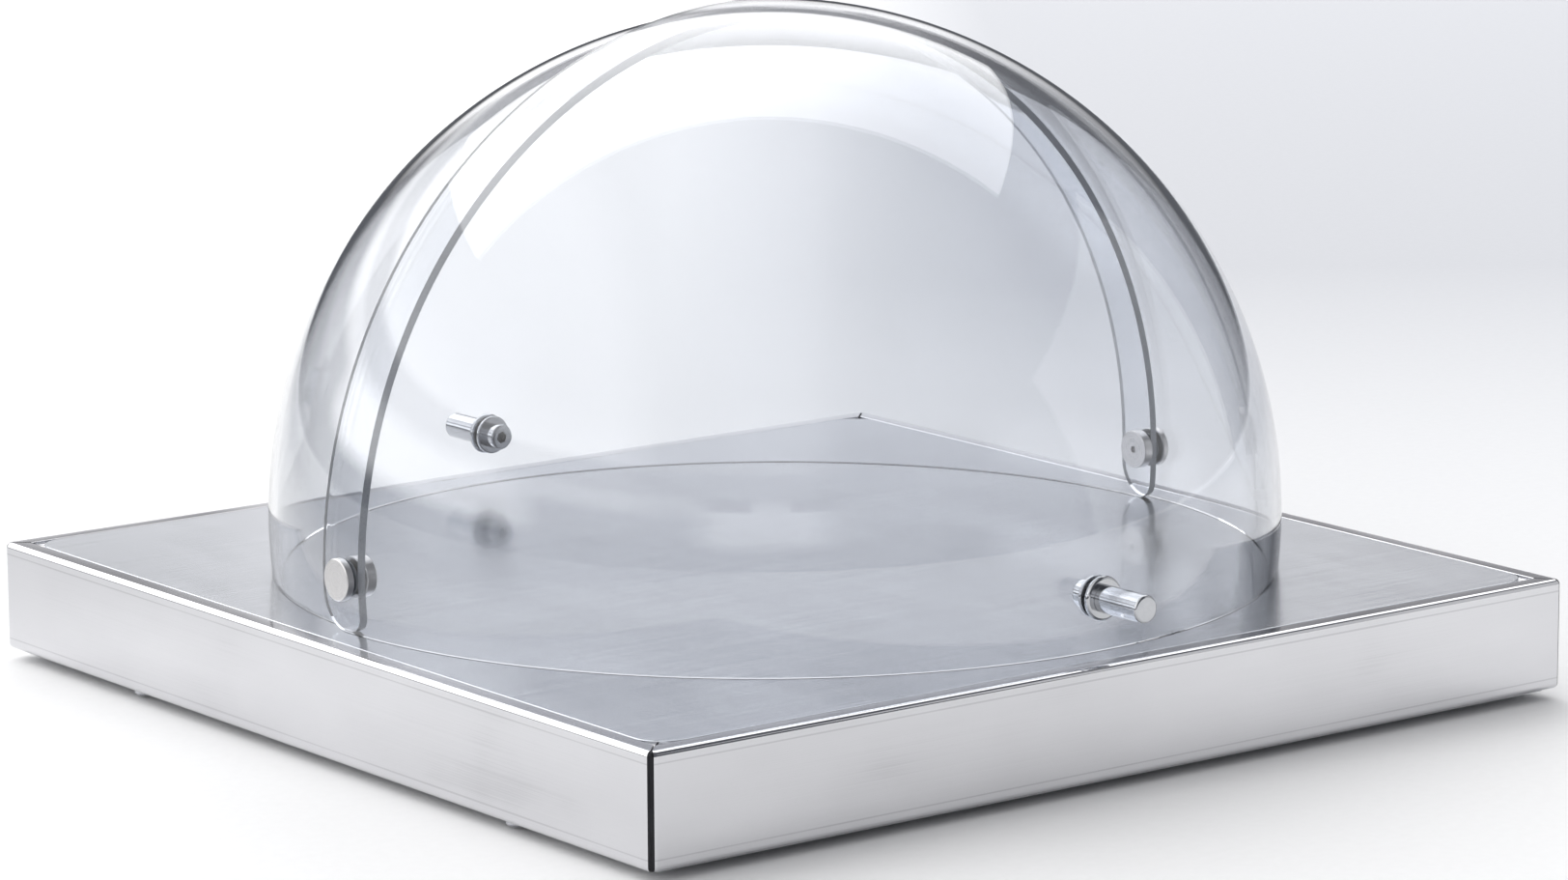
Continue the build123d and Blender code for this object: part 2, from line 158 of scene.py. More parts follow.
def painted_dark_corner():
    """Steel on the round of each corner, where the weld was ground: matt across the grinding lines, and painted nearly
    black as a painted reflection of dark surroundings.
    """
    made, tree, surface = new_finish("dressed_weld_steel", Metallic=1.0)
    lines = grain(tree, (900.0, 900.0, 60.0), 4.0, 0.7)
    # painted reflection: nearly black, standing in for the dark surroundings that the round corner mirrors
    colour = shades(tree, lines, (0.3, (0.014, 0.014, 0.016)), (0.7, (0.040, 0.040, 0.044)))
    lay(tree, surface, colour, spread(tree, lines, 0.20, 0.38))
    relief(tree, surface, lines, 0.01 * mm)
    return made


def arc(across, up, radius, start, end, steps=8):
    """Points of an arc round a middle, from one angle to another in degrees."""
    turns = [radians(start + (end - start) * step / steps) for step in range(steps + 1)]
    return [(across + radius * cos(turn), up + radius * sin(turn)) for turn in turns]


def evened(piece):
    """Shades a piece smoothly with its large faces kept flat, and works the result into its mesh."""
    piece.data.shade_smooth()
    piece.data.set_sharp_from_angle(angle=radians(35))
    piece.modifiers.new("even", "WEIGHTED_NORMAL").keep_sharp = True
    view = bpy.context.evaluated_depsgraph_get()
    mesh = bpy.data.meshes.new_from_object(piece.evaluated_get(view), depsgraph=view)
    piece.modifiers.clear()
    piece.data = mesh
    mesh.name = piece.name
    return piece


def loft(name, rings, finishes, ring_round=False, finish_of=lambda step: 0):
    """A closed piece through rings of equally many points; the end rings are capped, unless ring_round joins them."""
    form = bmesh.new()
    rings = [[form.verts.new(point) for point in ring] for ring in rings]
    around = len(rings[0])
    for step in range(len(rings) if ring_round else len(rings) - 1):
        here, there = rings[step], rings[(step + 1) % len(rings)]
        for i in range(around):
            j = (i + 1) % around
            form.faces.new((here[i], here[j], there[j], there[i])).material_index = finish_of(step)
    if not ring_round:
        form.faces.new(rings[0])
        form.faces.new(rings[-1])
    bmesh.ops.remove_doubles(form, verts=form.verts, dist=1e-6)
    bmesh.ops.recalc_face_normals(form, faces=form.faces)
    mesh = bpy.data.meshes.new(name)
    form.to_mesh(mesh)
    form.free()
    for made in finishes:
        mesh.materials.append(made)
    piece = bpy.data.objects.new(name, mesh)
    bpy.context.scene.collection.objects.link(piece)
    return evened(piece)


def settle(piece, body, slot, *nodes):
    """Hangs a piece on its body's empty and hides the nodes it stands for; slot, the finish it has, is not used."""
    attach(piece, body)
    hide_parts(*nodes)


# The folded section as (inset from the outer face, height): up the outside, then back down the inside
wall_section = (
    [(return_width, casing_foot)]
    + arc(fold_radius, casing_foot + fold_radius, fold_radius, 270, 180)
    + arc(fold_radius, casing_top - fold_radius, fold_radius, 180, 90)
    + arc(rim_width - rim_edge, casing_top - rim_edge, rim_edge, 90, 0, 3)
    + [(rim_width, casing_top - sheet)]
    + arc(fold_radius, casing_top - fold_radius, fold_radius - sheet, 90, 180)
    + arc(fold_radius, casing_foot + fold_radius, fold_radius - sheet, 180, 270)
    + [(return_width, casing_foot + sheet)]
)


def wall_point(inset, height, end, turn_in):
    """A point of the section near one end of the front wall, turned into the corner by so many degrees."""
    middle = base_half - max(corner_radius, inset)
    radius = max(corner_radius - inset, 0)
    along = middle + radius * sin(radians(turn_in))
    out = middle + radius * cos(radians(turn_in))
    if height > casing_top - mitre_depth and inset > mitre_from:
        along = min(along, out - mitre_gap / sqrt(2))
    return Vector((end * along, -out, height))


steel = polished_steel()
dark_corner_finish = painted_dark_corner()
corner_turns = [45 - 45 / corner_steps * step for step in range(corner_steps + 1)]
stations = [(-1, turn) for turn in corner_turns] + [(1, turn) for turn in reversed(corner_turns)]
# the steps of each corner's round that carry the painted dark reflection
dark_corner_steps = [step for step in range(len(stations) - 1)
              if min(stations[step][1], stations[step + 1][1]) >= dark_corner_from]
for quarter, side in enumerate(sides):
    turned_round = Matrix.Rotation(radians(90 * quarter), 3, "Z")
    sections = [[turned_round @ wall_point(inset, height, end, turn) for inset, height in wall_section]
                for end, turn in stations]
    wall = loft(f"{side}_casing_wall", sections, (steel, dark_corner_finish), finish_of=lambda step: int(step in dark_corner_steps))
    settle(wall, "base", "casing_steel", f"{side}_wall")

# Ledges: four flat strips of the same sheet, welded under the rim as the shelf that the tray lies on. They are
# left as the mill rolled them, so they are duller than the polished walls.
def milled_steel(name, dark, light, rough_low, rough_high):
    """Cold-rolled steel: soft mottling with fine pits and hardly any lines."""
    made, tree, surface = new_finish(name, Metallic=1.0)
    mottle = grain(tree, (60.0, 60.0, 60.0), 6.0, 0.65)
    pits = grain(tree, (1500.0, 1500.0, 1500.0), 3.0, 0.5)
    colour = shades(tree, mottle, (0.3, dark), (0.7, light))
    lay(tree, surface, colour, spread(tree, mottle, rough_low, rough_high))
    relief(tree, surface, pits, 0.01 * mm)
    return made


def dress(node, made):
    """Gives a node of model.glb a better finish."""
    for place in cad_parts[node].material_slots:
        place.material = made


ledge_steel = milled_steel("milled_ledge_steel", (0.78, 0.78, 0.80), (0.86, 0.86, 0.88), 0.42, 0.56)
for side in sides:
    dress(f"{side}_ledge", ledge_steel)

# Bottom plate: a flat blank of cold-rolled sheet that closes the casing from below, drilled for the screws and
# the stems of the feet.
dress("bottom_plate", milled_steel("milled_plate_steel", (0.52, 0.53, 0.55), (0.62, 0.63, 0.65), 0.30, 0.45))

# Bottom screws: four pan-head machine screws with a cross recess, driven up through the plate and the return of
# the casing. One node tree makes a screw and sets it at the corners of a rectangle.
screw_low, screw_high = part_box("bottom_screws")
screw_head = 7.5 * mm
screw_head_height = 1.8 * mm
screw_shank = 4.0 * mm
crown_share = 0.36          # radius of the head's flat top, as a share of the head
slot_share = 0.24           # width of the cross, as a share of the shank


def start_tree(name, sizes, finishes=("Finish",)):
    """A node tree with named number and finish inputs; returns the tree and its inputs."""
    tree = bpy.data.node_groups.new(name, "GeometryNodeTree")
    for size in sizes:
        tree.interface.new_socket(name=size, in_out="INPUT", socket_type="NodeSocketFloat")
    for made in finishes:
        tree.interface.new_socket(name=made, in_out="INPUT", socket_type="NodeSocketMaterial")
    tree.interface.new_socket(name="Geometry", in_out="OUTPUT", socket_type="NodeSocketGeometry")
    return tree, tree.nodes.new("NodeGroupInput").outputs


def shift(tree, shape, across=0.0, back=0.0, up=0.0, turn=(0.0, 0.0, 0.0)):
    """Turns a shape, then moves it by numbers or number sockets."""
    move = grow(tree, "ShaderNodeCombineXYZ", {"X": across, "Y": back, "Z": up})
    return grow(tree, "GeometryNodeTransform", {"Geometry": shape, "Translation": move, "Rotation": turn})


def joined(tree, *shapes):
    """Several shapes as one."""
    both = tree.nodes.new("GeometryNodeJoinGeometry")
    for shape in shapes:
        tree.links.new(shape.outputs[0], both.inputs[0])
    return both


def half_of(tree, measure):
    """Half a number."""
    return worked(tree, "DIVIDE", measure, 2.0)


def rod(tree, steps, radius, depth):
    """A rod along z with so many steps round it."""
    return grow(tree, "GeometryNodeMeshCylinder", {"Vertices": steps, "Radius": radius, "Depth": depth})


def at_corners(tree, shape, size, height):
    """A shape at each corner of a rectangle, at a height."""
    places = grow(tree, "GeometryNodeMeshGrid", {"Size X": size["Spacing X"], "Size Y": size["Spacing Y"],
                                                 "Vertices X": 2, "Vertices Y": 2})
    return grow(tree, "GeometryNodeInstanceOnPoints", {"Points": shift(tree, places, up=height), "Instance": shape})


def cut(tree, shape, *tools):
    """A shape with others taken out of it."""
    made = grow(tree, "GeometryNodeMeshBoolean", {"Mesh 1": shape}, operation="DIFFERENCE", solver="EXACT")
    for tool in tools:
        tree.links.new(tool.outputs[0], made.inputs["Mesh 2"])
    return made


def end_tree(tree, shape, finish, *others):
    """Makes instances real and sets the finish, then other finishes on chosen faces."""
    real = grow(tree, "GeometryNodeRealizeInstances", {"Geometry": shape})
    painted = grow(tree, "GeometryNodeSetMaterial", {"Geometry": real, "Material": finish})
    for other, faces in others:
        painted = grow(tree, "GeometryNodeSetMaterial", {"Geometry": painted, "Material": other, "Selection": faces})
    grow(tree, "NodeGroupOutput", {"Geometry": painted})


def grown(name, tree, *finishes, **sizes):
    """A plain mesh piece from a node tree, with these finishes and sizes on its inputs."""
    finishes = list(finishes)
    piece = bpy.data.objects.new(name, bpy.data.meshes.new(name))
    bpy.context.scene.collection.objects.link(piece)
    nodes = piece.modifiers.new("nodes", "NODES")
    nodes.node_group = tree
    for socket in tree.interface.items_tree:
        if socket.in_out == "INPUT":
            nodes[socket.identifier] = (finishes.pop(0) if socket.socket_type == "NodeSocketMaterial"
                                        else sizes[socket.name.replace(" ", "_")])
    view = bpy.context.evaluated_depsgraph_get()
    mesh = bpy.data.meshes.new_from_object(piece.evaluated_get(view), depsgraph=view)
    piece.modifiers.clear()
    piece.data = mesh
    return evened(piece)


screw_tree, size = start_tree("pan_head_screws", ("Spacing X", "Spacing Y", "Underside", "Head", "Head Height",
                                                  "Shank", "Length"))
head_radius = half_of(screw_tree, size["Head"])
half_head = half_of(screw_tree, size["Head Height"])
collar = rod(screw_tree, 48, head_radius, half_head)
crown = grow(screw_tree, "GeometryNodeMeshCone",
             {"Vertices": 48, "Radius Top": head_radius, "Depth": half_head,
              "Radius Bottom": worked(screw_tree, "MULTIPLY", size["Head"], crown_share)})
slot_size = grow(screw_tree, "ShaderNodeCombineXYZ",
                 {"X": size["Shank"], "Y": worked(screw_tree, "MULTIPLY", size["Shank"], slot_share),
                  "Z": size["Head Height"]})
head_end = worked(screw_tree, "MULTIPLY", size["Head Height"], -1.0)
bar = grow(screw_tree, "GeometryNodeMeshCube", {"Size": slot_size})
driven = cut(screw_tree, shift(screw_tree, crown, up=head_end), shift(screw_tree, bar, up=head_end),
             shift(screw_tree, bar, up=head_end, turn=(0.0, 0.0, radians(90))))
shank = rod(screw_tree, 32, half_of(screw_tree, size["Shank"]), size["Length"])
screw = joined(
    screw_tree,
    shift(screw_tree, collar, up=worked(screw_tree, "MULTIPLY", size["Head Height"], -0.25)),
    driven,
    shift(screw_tree, shank, up=half_of(screw_tree, size["Length"])),
)
end_tree(screw_tree, at_corners(screw_tree, screw, size, size["Underside"]), size["Finish"])

screw_steel = milled_steel("zinc_screw_steel", (0.50, 0.51, 0.54), (0.64, 0.65, 0.67), 0.26, 0.40)
plate_underside = screw_low.z + screw_head_height
screw_spacing_x = screw_high.x - screw_low.x - screw_head
screw_spacing_y = screw_high.y - screw_low.y - screw_head
bottom_screws = grown(
    "pan_head_bottom_screws", screw_tree, screw_steel,
    Spacing_X=screw_spacing_x, Spacing_Y=screw_spacing_y, Underside=plate_underside, Head=screw_head,
    Head_Height=screw_head_height, Shank=screw_shank, Length=screw_high.z - plate_underside,
)
settle(bottom_screws, "base", "screw_steel", "bottom_screws")

# Weld nuts: four hexagon nuts welded inside the casing, on the return, where the bottom screws come up.
nut_low, nut_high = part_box("weld_nuts")
nut_flats = 7.0 * mm
nut_bore = screw_shank + 0.2 * mm

nut_tree, size = start_tree("weld_nuts", ("Spacing X", "Spacing Y", "Seat", "Flats", "Height", "Bore"))
hexagon = rod(nut_tree, 6, worked(nut_tree, "DIVIDE", size["Flats"], sqrt(3)), size["Height"])
nut_drill = rod(nut_tree, 32, half_of(nut_tree, size["Bore"]), worked(nut_tree, "MULTIPLY", size["Height"], 2.0))
nut_middle = worked(nut_tree, "ADD", size["Seat"], half_of(nut_tree, size["Height"]))
end_tree(nut_tree, at_corners(nut_tree, cut(nut_tree, hexagon, nut_drill), size, nut_middle), size["Finish"])

weld_nuts = grown(
    "hexagon_weld_nuts", nut_tree, screw_steel,
    Spacing_X=screw_spacing_x, Spacing_Y=screw_spacing_y, Seat=nut_low.z, Flats=nut_flats,
    Height=nut_high.z - nut_low.z, Bore=nut_bore,
)
settle(weld_nuts, "base", "screw_steel", "weld_nuts")

# Feet: four moulded rubber pads with a barbed stem that is pushed through the bottom plate. The sole is dished,
# so that it grips on its outer ring.
foot_height = 3.0 * mm
foot_taper = 1.5 * mm
foot_stem = 6.0 * mm
foot_barb = 9.0 * mm
barb_height = 2.0 * mm
sole_dish = 0.6 * mm
dish_floor = 0.45           # radius of the dish's floor and of its rim, as shares of the foot
dish_rim = 0.6
corners = ("front_left", "front_right", "rear_left", "rear_right")


def rounded(outline):
    """An outline of (along, radius, easing) corners as points, each corner eased by an arc in five steps."""
    points = []
    befores = outline[-1:] + outline[:-1]
    afters = outline[1:] + outline[:1]
    for before, (along, radius, easing), after in zip(befores, outline, afters):
        corner = Vector((along, radius))
        if not easing:
            points.append(corner)
            continue
        back = (Vector(before[:2]) - corner).normalized()
        on = (Vector(after[:2]) - corner).normalized()
        half = back.angle(on) / 2
        middle = corner + (back + on).normalized() * easing / sin(half)
        first = corner + back * easing / tan(half) - middle
        last = corner + on * easing / tan(half) - middle
        points += [middle + first.lerp(last, step / 5).normalized() * easing for step in range(6)]
    return points


def axis_ring(start, outwards, along, reach_at, steps=96):
    """Points round an axis, so far along it; reach_at gives the radius at so many degrees round."""
    outwards = Vector(outwards)
    side = outwards.orthogonal().normalized()
    up = outwards.cross(side)
    turns = [360 * step / steps for step in range(steps)]
    return [Vector(start) + outwards * along
            + (side * cos(radians(turn)) + up * sin(radians(turn))) * reach_at(turn) for turn in turns]


def turned(name, outline, start, outwards, made, ring_round=False):
    """A piece turned round an axis: the outline is measured outwards from start. With ring_round it has a hole."""
    rings = [axis_ring(start, outwards, along, lambda turn: radius) for along, radius in rounded(outline)]
    return loft(name, rings, (made,), ring_round)


def moulded(name, dark, light, grains, rough_low, rough_high, depth, **looks):
    """A moulded plastic or rubber: fine grain of the mould, and slow changes of shade."""
    made, tree, surface = new_finish(name, **looks)
    skin = grain(tree, (grains, grains, grains), 3.0)
    clouds = grain(tree, (35.0, 35.0, 35.0), 2.0)
    colour = shades(tree, clouds, (0.3, dark), (0.7, light))
    lay(tree, surface, colour, spread(tree, skin, rough_low, rough_high))
    relief(tree, surface, skin, depth)
    return made


rubber = moulded("black_foot_rubber", (0.018, 0.018, 0.019), (0.034, 0.034, 0.035), 1200.0, 0.62, 0.82,
                 0.06 * mm)
for corner in corners:
    foot_low, foot_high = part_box(f"{corner}_foot")
    foot_middle = (foot_low + foot_high) / 2
    foot_radius = (foot_high.x - foot_low.x) / 2
    barb_top = foot_high.z
    foot = turned(
        f"{corner}_rubber_foot",
        [(sole_dish, 0, 0), (sole_dish, dish_floor * foot_radius, 0.3 * mm),
         (0, dish_rim * foot_radius, 0.3 * mm), (0, foot_radius - foot_taper, 0.4 * mm),
         (foot_height, foot_radius, 0.4 * mm),
         (foot_height, foot_stem / 2, 0), (barb_top - barb_height, foot_stem / 2, 0),
         (barb_top - barb_height, foot_barb / 2, 0.2 * mm), (barb_top, foot_stem / 2, 0.4 * mm), (barb_top, 0, 0)],
        (foot_middle.x, foot_middle.y, 0), (0, 0, 1), rubber,
    )
    settle(foot, "base", "foot_rubber", f"{corner}_foot")

# Insulation tub: one block of expanded foam with a pocket for each cold pack and a well for the fingers where
# the pockets meet. It stands loose on the bottom plate, inside the return.
def bead_foam():
    """White bead foam: pressed beads about 3 mm across, with painted shade in the crevice round each."""
    made, tree, surface = new_finish("white_bead_foam", Roughness=0.8)
    place = grow(tree, "ShaderNodeTexCoord")
    beads = grow(tree, "ShaderNodeTexVoronoi", {"Vector": place.outputs["Object"], "Scale": 330.0},
                 feature="DISTANCE_TO_EDGE")
    crown = spread(tree, beads, 0.0, 1.0, 0.0, 0.16)
    # painted shade: the colour darkens towards each bead's edge, in the crevice between beads
    colour = shades(tree, crown, (0.0, (0.62, 0.62, 0.60)), (0.4, (0.86, 0.86, 0.84)), (1.0, (0.91, 0.91, 0.89)))
    tree.links.new(colour.outputs[0], surface.inputs["Base Color"])
    relief(tree, surface, crown, 0.25 * mm)
    return made


dress("insulation_tub", bead_foam())

# Cold packs: four flat bottles blow-moulded in pale blue polyethylene and filled with brine. Each has a parting
# line round its middle, a sunk panel in its top and a filler neck, and stands loose in its pocket.
pack_edge = 3.0 * mm
pack_corner = 12.0 * mm
parting_line = 0.5 * mm     # depth
parting_half = 1.2 * mm     # half its width
panel_margin = 14.0 * mm
panel_depth = 1.0 * mm
panel_round = 0.5 * mm
panel_corner = 6.0 * mm
boss_radius = 15.0 * mm
neck_radius = 9.0 * mm
neck_height = 4.0 * mm


def square_ring(middle, half, corner, height, steps=8):
    """Points round a square with round corners; with a corner as large as half the side it is a circle."""
    ring = []
    for quarter, (across, back) in enumerate(((1, 1), (-1, 1), (-1, -1), (1, -1))):
        ring += [Vector((middle.x + across * (half - corner), middle.y + back * (half - corner), height))
                 + Vector((*point, 0)) for point in arc(0, 0, corner, 90 * quarter, 90 * quarter + 90, steps)]
    return ring


pack_plastic = moulded("pale_blue_pack_plastic", (0.42, 0.63, 0.80), (0.50, 0.70, 0.85), 700.0, 0.28, 0.42,
                       0.03 * mm, Subsurface_Weight=0.15, Subsurface_Scale=0.004)
for corner in corners:
    pack_low, pack_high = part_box(f"{corner}_cold_pack")
    pack_middle = (pack_low + pack_high) / 2
    pack_half = (pack_high.x - pack_low.x) / 2
    pack_foot = pack_low.z
    pack_top = pack_high.z - neck_height
    seam = (pack_foot + pack_top) / 2
    outside = (
        arc(pack_edge, pack_foot + pack_edge, pack_edge, 270, 180, 5)
        + [(0, seam - parting_half), (parting_line, seam), (0, seam + parting_half)]
        + arc(pack_edge, pack_top - pack_edge, pack_edge, 180, 90, 5)
        + arc(panel_margin - panel_round, pack_top - panel_round, panel_round, 90, 0, 3)
        + arc(panel_margin + panel_round, pack_top - panel_depth + panel_round, panel_round, 180, 270, 3)
    )
    rings = [square_ring(pack_middle, pack_half - inset, max(pack_corner - inset, panel_corner), height)
             for inset, height in outside]
    neck = ((boss_radius + 1.0 * mm, pack_top - panel_depth), (boss_radius + 0.3 * mm, pack_top - 0.2 * mm),
            (boss_radius - 0.4 * mm, pack_top), (neck_radius, pack_top), (neck_radius, pack_top + neck_height))
    rings += [square_ring(pack_middle, radius, radius, height) for radius, height in neck]
    pack = loft(f"{corner}_moulded_cold_pack", rings, (pack_plastic,))
    settle(pack, "cold_packs", "pack_plastic", f"{corner}_cold_pack")

# Cold pack caps: four white screw caps of injection-moulded plastic, ribbed round the side for the fingers. The
# node tree stands the ribs on a circle round the cap.
cap_ribs = 36
rib_size = 0.9 * mm
cap_edge = 0.8 * mm
rib_share = 0.92            # length of a rib, as a share of the cap's side

cap_tree, size = start_tree("ribbed_cap", ("Middle X", "Middle Y", "Seat", "Radius", "Height", "Ribs", "Rib",
                                           "Edge"))
rib_radius = half_of(cap_tree, size["Rib"])
body_radius = worked(cap_tree, "SUBTRACT", size["Radius"], rib_radius)
side_height = worked(cap_tree, "SUBTRACT", size["Height"], size["Edge"])
cap_side = rod(cap_tree, 72, body_radius, side_height)
cap_shoulder = grow(cap_tree, "GeometryNodeMeshCone",
                    {"Vertices": 72, "Side Segments": 3, "Radius Bottom": body_radius,
                     "Radius Top": worked(cap_tree, "SUBTRACT", body_radius, size["Edge"]), "Depth": size["Edge"]})
rib_ring = grow(cap_tree, "GeometryNodeMeshCircle",
                {"Vertices": grow(cap_tree, "FunctionNodeFloatToInt", {0: size["Ribs"]}), "Radius": body_radius})
rib = rod(cap_tree, 10, rib_radius, worked(cap_tree, "MULTIPLY", side_height, rib_share))
ribs = grow(cap_tree, "GeometryNodeInstanceOnPoints", {"Points": rib_ring, "Instance": rib})
cap_shape = joined(cap_tree, shift(cap_tree, joined(cap_tree, cap_side, ribs), up=half_of(cap_tree, side_height)),
                   shift(cap_tree, cap_shoulder, up=side_height))
end_tree(cap_tree, shift(cap_tree, cap_shape, size["Middle X"], size["Middle Y"], size["Seat"]), size["Finish"])

cap_plastic = moulded("white_cap_plastic", (0.84, 0.85, 0.86), (0.90, 0.91, 0.92), 1500.0, 0.32, 0.46, 0.02 * mm)
for corner in corners:
    cap_low, cap_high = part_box(f"{corner}_cold_pack_cap")
    cap = grown(
        f"{corner}_ribbed_cap", cap_tree, cap_plastic,
        Middle_X=(cap_low.x + cap_high.x) / 2, Middle_Y=(cap_low.y + cap_high.y) / 2, Seat=cap_low.z,
        Radius=(cap_high.x - cap_low.x) / 2, Height=cap_high.z - cap_low.z, Ribs=cap_ribs, Rib=rib_size,
        Edge=cap_edge,
    )
    settle(cap, "cold_packs", "cap_plastic", f"{corner}_cold_pack_cap")

# Tray: a flat plate of stainless steel with round corners and broken edges, brushed along the pivots' line and
# lacquered. It lies loose on the ledges, flush with the rim.
tray_low, tray_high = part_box("tray")
tray_half = tray_high.x
tray_corner = 12.0 * mm
tray_edge = 0.3 * mm


def brushed_lacquer():
    """Blue-grey brushed steel under a thin clear lacquer, with faint rubs of use."""
    made, tree, surface = new_finish("brushed_tray_steel", Metallic=1.0, Coat_Weight=0.4, Coat_Roughness=0.04,
                                     Coat_IOR=1.45)
    lines = grain(tree, (12.0, 2200.0, 60.0), 2.0, 0.5)
    rubs = grain(tree, (30.0, 9.0, 9.0), 4.0, 0.7)
    mixed = worked(tree, "MULTIPLY_ADD", rubs, 0.6, lines)
    colour = shades(tree, mixed, (0.55, (0.54, 0.56, 0.60)), (1.0, (0.62, 0.64, 0.68)))
    lay(tree, surface, colour, spread(tree, mixed, 0.18, 0.235, 0.55, 1.05))
    relief(tree, surface, lines, 0.0008 * mm)
    return made


tray_rings = [square_ring(Vector(), tray_half - inset, tray_corner - inset, height, 16)
              for inset, height in [(tray_edge, tray_low.z)]
              + arc(tray_edge, tray_low.z + tray_edge, tray_edge, 270, 180, 3)
              + arc(tray_edge, tray_high.z - tray_edge, tray_edge, 180, 90, 3)]
tray = loft("brushed_tray", tray_rings, (brushed_lacquer(),))
settle(tray, "tray", "tray_steel", "tray")

# Hood shells: two nested quarter spheres of clear acrylic, blown from 3 mm sheet and trimmed, the front one over
# the rear one. Each runs a little past the pivots, where its lower corner is round so that it clears the tray.
# The front one's edge is sanded pale, the rear one's is left grey from the saw, and the foot of both is clear.
hood_wall = 3.0 * mm
front_tail = 13.5 * mm
rear_tail = 6.0 * mm
front_pivot_hole = 9.2 * mm
rear_pivot_hole = 7.2 * mm
knob_hole = 3.4 * mm
hood_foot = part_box("front_hood")[0].z - 0.2 * mm    # all but touching the tray
past_hood = 1.5             # reach of the tools that trim it, as a share of its radius
edge_lean = 0.9             # a face that leans further than this from straight out is a cut edge,
foot_lean = -0.7            # and one that faces further down than this is the foot
pivot_low, pivot_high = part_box("left_pivot_cap")
pivot_height = (pivot_low.z + pivot_high.z) / 2


def combined(tree, operation, first, second=(0.0, 0.0, 0.0)):
    """A direction or a colour worked out from others."""
    return grow(tree, "ShaderNodeVectorMath", {0: first, 1: second}, operation=operation)


shell_tree, size = start_tree("hood_shell", ("Radius", "Wall", "Tail", "Lower Edge", "Pivot Height", "Pivot Hole",
                                             "Knob Hole", "Turn"), ("Finish", "Edge Finish"))
balls = [grow(shell_tree, "GeometryNodeMeshUVSphere", {"Segments": 256, "Rings": 128, "Radius": radius})
         for radius in (size["Radius"], worked(shell_tree, "SUBTRACT", size["Radius"], size["Wall"]))]
ball = shift(shell_tree, cut(shell_tree, *balls), turn=(0.0, radians(90), 0.0))
reach = worked(shell_tree, "MULTIPLY", size["Radius"], past_hood)
drop = worked(shell_tree, "SUBTRACT", size["Pivot Height"], size["Lower Edge"])
outline = grow(shell_tree, "GeometryNodeCurvePrimitiveQuadrilateral",
               {"Width": worked(shell_tree, "ADD", reach, size["Tail"]),
                "Height": worked(shell_tree, "ADD", reach, drop)})
outline = shift(shell_tree, outline,
                worked(shell_tree, "MULTIPLY", worked(shell_tree, "SUBTRACT", reach, size["Tail"]), 0.5),
                worked(shell_tree, "MULTIPLY", worked(shell_tree, "SUBTRACT", reach, drop), 0.5))
outline = grow(shell_tree, "GeometryNodeFilletCurve", {"Curve": outline, "Count": 16, "Radius": size["Tail"]},
               mode="POLY")
blank = grow(shell_tree, "GeometryNodeFillCurve", {"Curve": outline}, mode="NGONS")
up_only = grow(shell_tree, "ShaderNodeCombineXYZ", {"Z": 1.0})
raised = grow(shell_tree, "GeometryNodeExtrudeMesh",
              {"Mesh": blank, "Offset": up_only, "Offset Scale": worked(shell_tree, "MULTIPLY", reach, 2.0),
               "Individual": False}, mode="FACES")
block = grow(shell_tree, "GeometryNodeMergeByDistance",
             {"Geometry": joined(shell_tree, raised, grow(shell_tree, "GeometryNodeFlipFaces", {"Mesh": blank})),
              "Distance": 1e-6})
block = shift(shell_tree, block, worked(shell_tree, "MULTIPLY", reach, -1.0),
              turn=(radians(90), 0.0, radians(90)))
trimmed = grow(shell_tree, "GeometryNodeMeshBoolean", operation="INTERSECT", solver="EXACT")
shell_tree.links.new(ball.outputs[0], trimmed.inputs["Mesh 2"])
shell_tree.links.new(block.outputs[0], trimmed.inputs["Mesh 2"])
pivot_drill = rod(shell_tree, 64, half_of(shell_tree, size["Pivot Hole"]), worked(shell_tree, "MULTIPLY", reach, 2.0))
knob_drill = rod(shell_tree, 48, half_of(shell_tree, size["Knob Hole"]),
                 worked(shell_tree, "MULTIPLY", size["Wall"], 4.0))
drilled = cut(shell_tree, trimmed, shift(shell_tree, pivot_drill, turn=(0.0, radians(90), 0.0)),
              shift(shell_tree, knob_drill, back=size["Radius"], turn=(radians(90), 0.0, 0.0)))
facing = grow(shell_tree, "ShaderNodeCombineXYZ", {"Z": size["Turn"]})
hood_middle = grow(shell_tree, "ShaderNodeCombineXYZ", {"Z": size["Pivot Height"]})
raised_shell = grow(shell_tree, "GeometryNodeTransform",
                    {"Geometry": drilled, "Rotation": facing, "Translation": hood_middle})
from_middle = combined(shell_tree, "SUBTRACT", grow(shell_tree, "GeometryNodeInputPosition"), hood_middle)
face_normal = grow(shell_tree, "GeometryNodeInputNormal")
straight_out = combined(shell_tree, "DOT_PRODUCT", combined(shell_tree, "NORMALIZE", from_middle), face_normal)
cut_edge = grow(shell_tree, "FunctionNodeCompare",
                {"A": worked(shell_tree, "ABSOLUTE", straight_out.outputs["Value"]), "B": edge_lean},
                data_type="FLOAT", operation="LESS_THAN")
level = grow(shell_tree, "ShaderNodeSeparateXYZ", {"Vector": face_normal})
not_foot = grow(shell_tree, "FunctionNodeCompare", {"A": level.outputs["Z"], "B": foot_lean},
                data_type="FLOAT", operation="GREATER_THAN")
matt_edge = grow(shell_tree, "FunctionNodeBooleanMath", {0: cut_edge, 1: not_foot}, operation="AND")
end_tree(shell_tree, raised_shell, size["Finish"], (size["Edge Finish"], matt_edge))


def clear_acrylic():
    """Clear acrylic with a cold tint, the slight waves of blowing and the fine rubs of wiping."""
    made, tree, surface = new_finish("clear_hood_acrylic", IOR=1.49, Transmission_Weight=1.0)
    rubs = grain(tree, (160.0, 160.0, 160.0), 5.0, 0.7)
    waves = grain(tree, (9.0, 9.0, 9.0), 1.0)
    colour = shades(tree, waves, (0.3, (0.853, 0.866, 0.889)), (0.7, (0.867, 0.880, 0.903)))
    lay(tree, surface, colour, spread(tree, rubs, 0.0, 0.03, 0.45, 0.75))
    relief(tree, surface, waves, 0.15 * mm)
    return made


